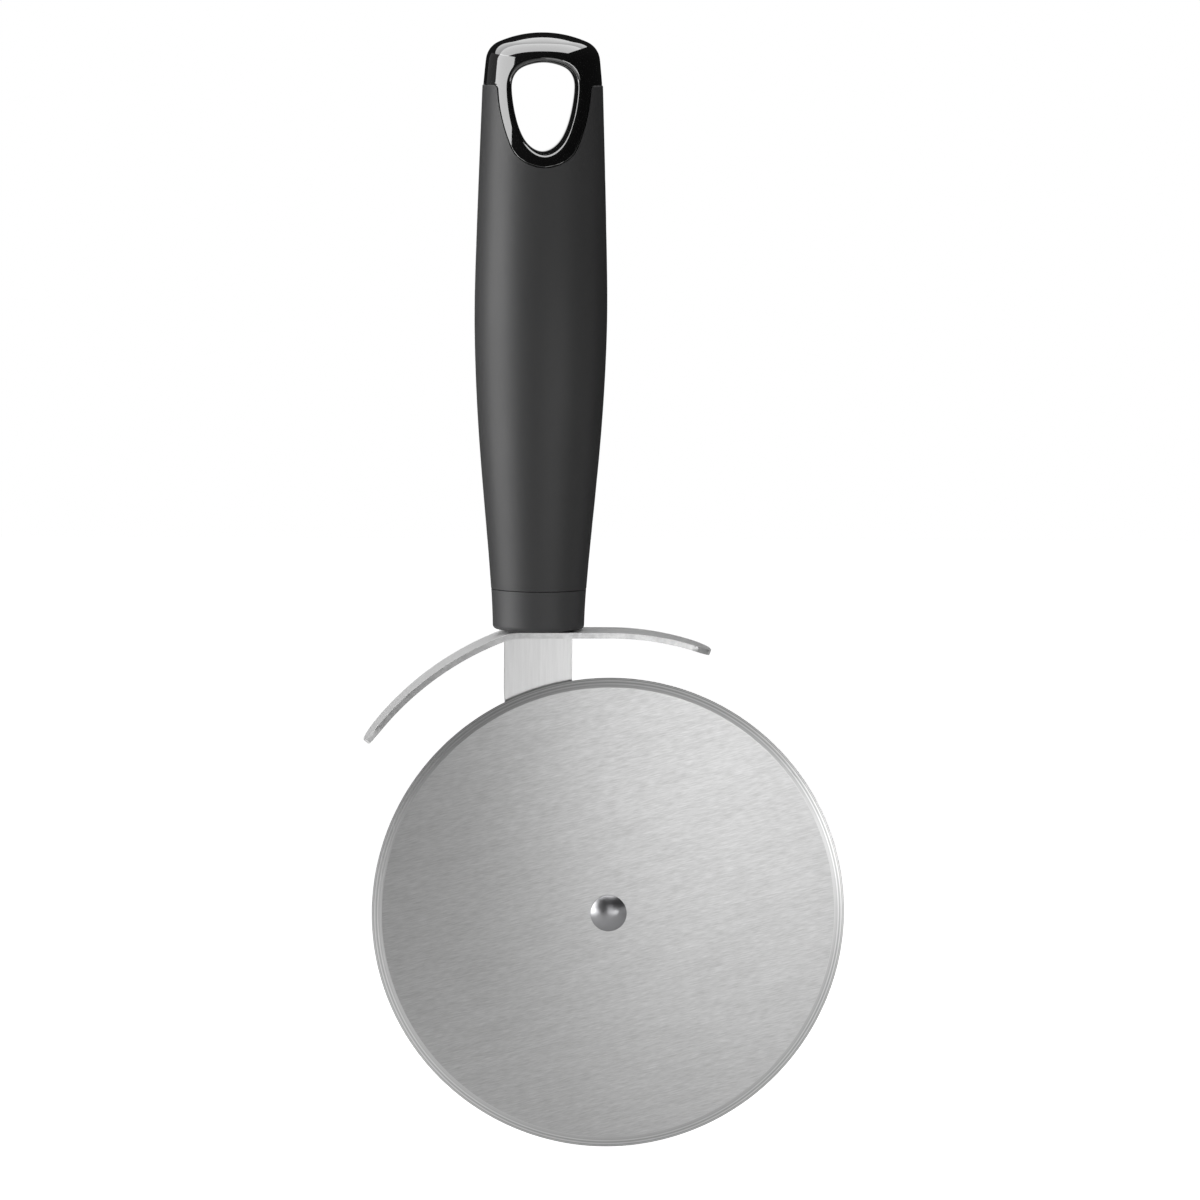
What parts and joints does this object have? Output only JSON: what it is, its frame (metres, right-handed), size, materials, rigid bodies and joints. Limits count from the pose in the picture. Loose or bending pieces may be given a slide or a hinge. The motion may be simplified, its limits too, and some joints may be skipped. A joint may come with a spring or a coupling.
{
  "type": "pizza cutter wheel",
  "caption": "Hand-held wheel cutter: a bevelled steel disc turns on a riveted flat arm under a curved finger guard, with a soft oval handle that ends in a hanging ring.",
  "frame": {"origin": "top of the hanging hole's inner wall, in the middle of its depth, where a hook bears", "axes": "+Z along the handle away from the wheel, -Y the front with the rivet's domed head, X across the wheel"},
  "size_m": [0.1034, 0.0238, 0.2391],
  "materials": {
    "brushed_blade_steel": "brushed across the disc, with a finely ground bevel",
    "polished_rivet_steel": "polished dome",
    "washer_nylon": "natural nylon",
    "satin_steel": "fine satin grain along the arm",
    "guard_steel": "bright satin",
    "core_plastic": "moulded, unseen but for its lower end",
    "collar_plastic": "dull black, a little smoother than the grip",
    "grip_rubber": "soft dull black",
    "cap_gloss_plastic": "mirror-gloss black"
  },
  "bodies": {
    "handle": {"wheel_arm": "satin_steel", "axle_rivet": "polished_rivet_steel", "spacer_washer": "washer_nylon", "finger_guard": "guard_steel", "handle_core": "core_plastic", "handle_collar": "collar_plastic", "grip_sleeve": "grip_rubber", "end_cap": "cap_gloss_plastic"},
    "wheel": {"cutting_wheel": "brushed_blade_steel"}
  },
  "joints": [
    {"name": "wheel_spin", "type": "hinge", "parent": "handle", "child": "wheel", "pos_m": [0.0154, -0.0022, -0.18185], "axis": [0, 1, 0], "continuous": true}
  ]
}
